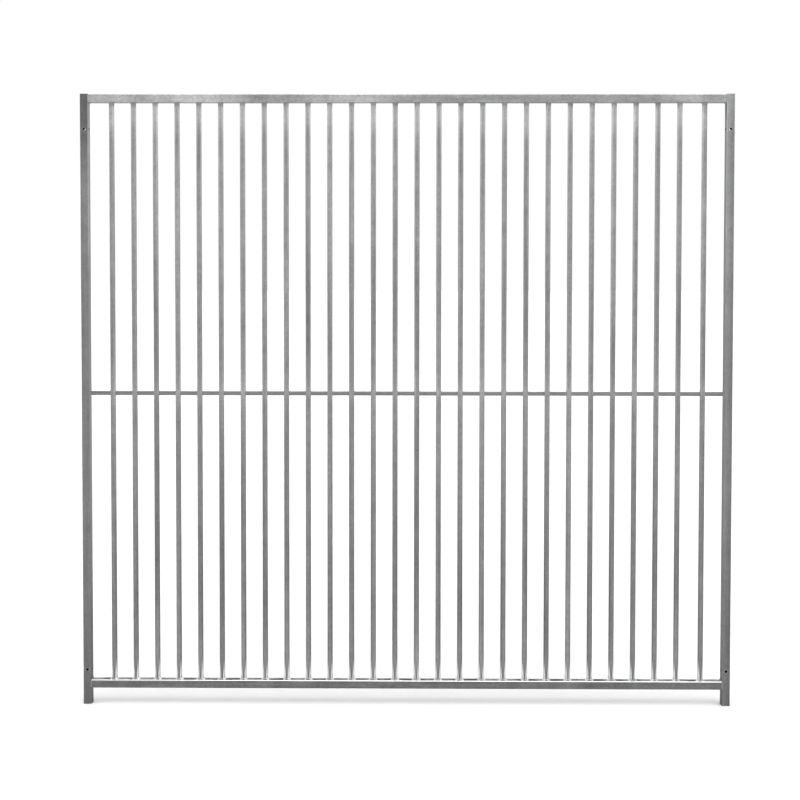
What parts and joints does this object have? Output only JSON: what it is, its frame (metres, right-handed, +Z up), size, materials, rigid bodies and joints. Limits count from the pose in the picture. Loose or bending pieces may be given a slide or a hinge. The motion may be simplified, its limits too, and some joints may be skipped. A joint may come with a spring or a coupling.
{
  "type": "livestock pen panel",
  "caption": "Fixed livestock pen or kennel run panel: welded galvanised box-section frame filled with upright round tubes, a rod through them at mid-height, bolt holes in both uprights.",
  "frame": {"origin": "on the floor, at the middle of the panel's width and thickness", "axes": "+X along the panel to the right as seen from the front, the front faces -Y, +Z up"},
  "size_m": [1.955, 0.025, 1.84],
  "materials": {
    "galvanised_frame": "hot-dip galvanised box section, matt with spangle and streaks",
    "galvanised_rod": "hot-dip galvanised round rod, satin",
    "galvanised_bar": "hot-dip galvanised round tube, satin, lighter towards the top",
    "zinc_weld": "weld metal under bright fresh zinc, lumpy"
  },
  "bodies": {
    "root": {"left_upright": "galvanised_frame", "right_upright": "galvanised_frame", "top_rail": "galvanised_frame", "bottom_rail": "galvanised_frame", "mid_rod": "galvanised_rod", "bar_01": "galvanised_bar", "bar_02": "galvanised_bar", "bar_03": "galvanised_bar", "bar_04": "galvanised_bar", "bar_05": "galvanised_bar", "bar_06": "galvanised_bar", "bar_07": "galvanised_bar", "bar_08": "galvanised_bar", "bar_09": "galvanised_bar", "bar_10": "galvanised_bar", "bar_11": "galvanised_bar", "bar_12": "galvanised_bar", "bar_13": "galvanised_bar", "bar_14": "galvanised_bar", "bar_15": "galvanised_bar", "bar_16": "galvanised_bar", "bar_17": "galvanised_bar", "bar_18": "galvanised_bar", "bar_19": "galvanised_bar", "bar_20": "galvanised_bar", "bar_21": "galvanised_bar", "bar_22": "galvanised_bar", "bar_23": "galvanised_bar", "bar_24": "galvanised_bar", "bar_25": "galvanised_bar", "bar_26": "galvanised_bar", "bar_27": "galvanised_bar", "bar_28": "galvanised_bar", "bar_top_welds": "zinc_weld", "bar_foot_welds": "zinc_weld", "rod_welds": "zinc_weld", "frame_welds": "zinc_weld"}
  },
  "joints": []
}
